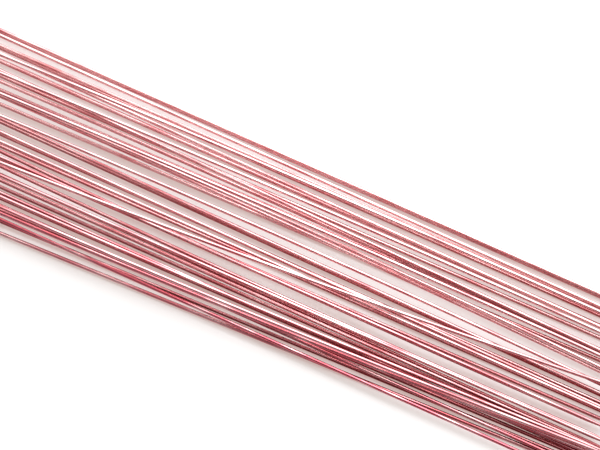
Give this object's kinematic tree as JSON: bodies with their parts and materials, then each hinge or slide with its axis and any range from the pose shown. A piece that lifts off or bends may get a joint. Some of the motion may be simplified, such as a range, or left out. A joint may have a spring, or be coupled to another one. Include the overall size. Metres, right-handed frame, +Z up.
{
  "type": "straight knitting needles",
  "caption": "Loose sheaf of slim straight single-pointed knitting needles, rose anodised metal shafts with rounded plastic caps, lying on a table.",
  "frame": {"origin": "on the table, at the middle of the sheaf's length and width", "axes": "+X along the needles from the caps to the points, +Y across the sheaf, +Z up from the table"},
  "size_m": [0.4077, 0.1148, 0.0226],
  "materials": {
    "shaft": "rose pink anodised, satin bright",
    "cap": "moulded rose red plastic"
  },
  "bodies": {
    "table_row": {"table_shafts_near": "shaft", "table_shafts_far": "shaft", "table_caps_near": "cap", "table_caps_far": "cap"},
    "needle_17": {"needle_17_shaft": "shaft", "needle_17_cap": "cap"},
    "needle_18": {"needle_18_shaft": "shaft", "needle_18_cap": "cap"},
    "needle_19": {"needle_19_shaft": "shaft", "needle_19_cap": "cap"},
    "needle_20": {"needle_20_shaft": "shaft", "needle_20_cap": "cap"},
    "needle_21": {"needle_21_shaft": "shaft", "needle_21_cap": "cap"},
    "needle_22": {"needle_22_shaft": "shaft", "needle_22_cap": "cap"},
    "needle_23": {"needle_23_shaft": "shaft", "needle_23_cap": "cap"},
    "needle_24": {"needle_24_shaft": "shaft", "needle_24_cap": "cap"},
    "needle_25": {"needle_25_shaft": "shaft", "needle_25_cap": "cap"},
    "needle_26": {"needle_26_shaft": "shaft", "needle_26_cap": "cap"},
    "needle_27": {"needle_27_shaft": "shaft", "needle_27_cap": "cap"},
    "needle_28": {"needle_28_shaft": "shaft", "needle_28_cap": "cap"},
    "needle_29": {"needle_29_shaft": "shaft", "needle_29_cap": "cap"},
    "needle_30": {"needle_30_shaft": "shaft", "needle_30_cap": "cap"},
    "needle_31": {"needle_31_shaft": "shaft", "needle_31_cap": "cap"},
    "needle_32": {"needle_32_shaft": "shaft", "needle_32_cap": "cap"},
    "needle_33": {"needle_33_shaft": "shaft", "needle_33_cap": "cap"},
    "needle_34": {"needle_34_shaft": "shaft", "needle_34_cap": "cap"},
    "needle_35": {"needle_35_shaft": "shaft", "needle_35_cap": "cap"},
    "needle_36": {"needle_36_shaft": "shaft", "needle_36_cap": "cap"},
    "needle_37": {"needle_37_shaft": "shaft", "needle_37_cap": "cap"},
    "needle_38": {"needle_38_shaft": "shaft", "needle_38_cap": "cap"},
    "needle_39": {"needle_39_shaft": "shaft", "needle_39_cap": "cap"},
    "needle_40": {"needle_40_shaft": "shaft", "needle_40_cap": "cap"},
    "needle_41": {"needle_41_shaft": "shaft", "needle_41_cap": "cap"},
    "needle_42": {"needle_42_shaft": "shaft", "needle_42_cap": "cap"},
    "needle_43": {"needle_43_shaft": "shaft", "needle_43_cap": "cap"},
    "needle_44": {"needle_44_shaft": "shaft", "needle_44_cap": "cap"}
  },
  "joints": [
    {"name": "needle_17_draw", "type": "slide", "parent": "table_row", "child": "needle_17", "axis": [-0.9999, -0.0066, 0.0124], "range_m": [0, 0.4]},
    {"name": "needle_18_draw", "type": "slide", "parent": "table_row", "child": "needle_18", "axis": [-0.9999, -0.0026, 0.0124], "range_m": [0, 0.4]},
    {"name": "needle_19_draw", "type": "slide", "parent": "table_row", "child": "needle_19", "axis": [-0.9999, -0.0043, 0.0124], "range_m": [0, 0.4]},
    {"name": "needle_20_draw", "type": "slide", "parent": "table_row", "child": "needle_20", "axis": [-0.9999, -0.0038, 0.0124], "range_m": [0, 0.4]},
    {"name": "needle_21_draw", "type": "slide", "parent": "table_row", "child": "needle_21", "axis": [-0.9999, 0.0038, 0.0124], "range_m": [0, 0.4]},
    {"name": "needle_22_draw", "type": "slide", "parent": "table_row", "child": "needle_22", "axis": [-0.9999, 0.0073, 0.0124], "range_m": [0, 0.4]},
    {"name": "needle_23_draw", "type": "slide", "parent": "table_row", "child": "needle_23", "axis": [-0.9999, 0.0068, 0.0124], "range_m": [0, 0.4]},
    {"name": "needle_24_draw", "type": "slide", "parent": "table_row", "child": "needle_24", "axis": [-0.9999, 0.0071, 0.0124], "range_m": [0, 0.4]},
    {"name": "needle_25_draw", "type": "slide", "parent": "table_row", "child": "needle_25", "axis": [-0.9999, 0.0084, 0.0124], "range_m": [0, 0.4]},
    {"name": "needle_26_draw", "type": "slide", "parent": "table_row", "child": "needle_26", "axis": [-0.9999, 0.0049, 0.0124], "range_m": [0, 0.4]},
    {"name": "needle_27_draw", "type": "slide", "parent": "table_row", "child": "needle_27", "axis": [-0.9999, -0.0042, 0.0124], "range_m": [0, 0.4]},
    {"name": "needle_28_draw", "type": "slide", "parent": "table_row", "child": "needle_28", "axis": [-0.9999, -0.0054, 0.0124], "range_m": [0, 0.4]},
    {"name": "needle_29_draw", "type": "slide", "parent": "table_row", "child": "needle_29", "axis": [-0.9999, -0.0047, 0.0124], "range_m": [0, 0.4]},
    {"name": "needle_30_draw", "type": "slide", "parent": "table_row", "child": "needle_30", "axis": [-0.9988, -0.0451, 0.0207], "range_m": [0, 0.4]},
    {"name": "needle_31_draw", "type": "slide", "parent": "table_row", "child": "needle_31", "axis": [-0.9994, -0.0292, 0.0207], "range_m": [0, 0.4]},
    {"name": "needle_32_draw", "type": "slide", "parent": "table_row", "child": "needle_32", "axis": [-0.9997, -0.0147, 0.0207], "range_m": [0, 0.4]},
    {"name": "needle_33_draw", "type": "slide", "parent": "table_row", "child": "needle_33", "axis": [-0.9997, -0.0086, 0.0207], "range_m": [0, 0.4]},
    {"name": "needle_34_draw", "type": "slide", "parent": "table_row", "child": "needle_34", "axis": [-0.9997, -0.0089, 0.0207], "range_m": [0, 0.4]},
    {"name": "needle_35_draw", "type": "slide", "parent": "table_row", "child": "needle_35", "axis": [-0.9997, -0.0089, 0.0207], "range_m": [0, 0.4]},
    {"name": "needle_36_draw", "type": "slide", "parent": "table_row", "child": "needle_36", "axis": [-0.9998, -0.0036, 0.0207], "range_m": [0, 0.4]},
    {"name": "needle_37_draw", "type": "slide", "parent": "table_row", "child": "needle_37", "axis": [-0.9997, 0.0127, 0.0207], "range_m": [0, 0.4]},
    {"name": "needle_38_draw", "type": "slide", "parent": "table_row", "child": "needle_38", "axis": [-0.9998, 0.0045, 0.0207], "range_m": [0, 0.4]},
    {"name": "needle_39_draw", "type": "slide", "parent": "table_row", "child": "needle_39", "axis": [-0.9998, 0.0009, 0.0207], "range_m": [0, 0.4]},
    {"name": "needle_40_draw", "type": "slide", "parent": "table_row", "child": "needle_40", "axis": [-0.9986, -0.0449, 0.029], "range_m": [0, 0.4]},
    {"name": "needle_41_draw", "type": "slide", "parent": "table_row", "child": "needle_41", "axis": [-0.996, -0.0847, 0.029], "range_m": [0, 0.4]},
    {"name": "needle_42_draw", "type": "slide", "parent": "table_row", "child": "needle_42", "axis": [-0.9994, -0.0202, 0.029], "range_m": [0, 0.4]},
    {"name": "needle_43_draw", "type": "slide", "parent": "table_row", "child": "needle_43", "axis": [-0.9993, -0.0229, 0.029], "range_m": [0, 0.4]},
    {"name": "needle_44_draw", "type": "slide", "parent": "table_row", "child": "needle_44", "axis": [-0.9993, -0.0238, 0.029], "range_m": [0, 0.4]}
  ]
}
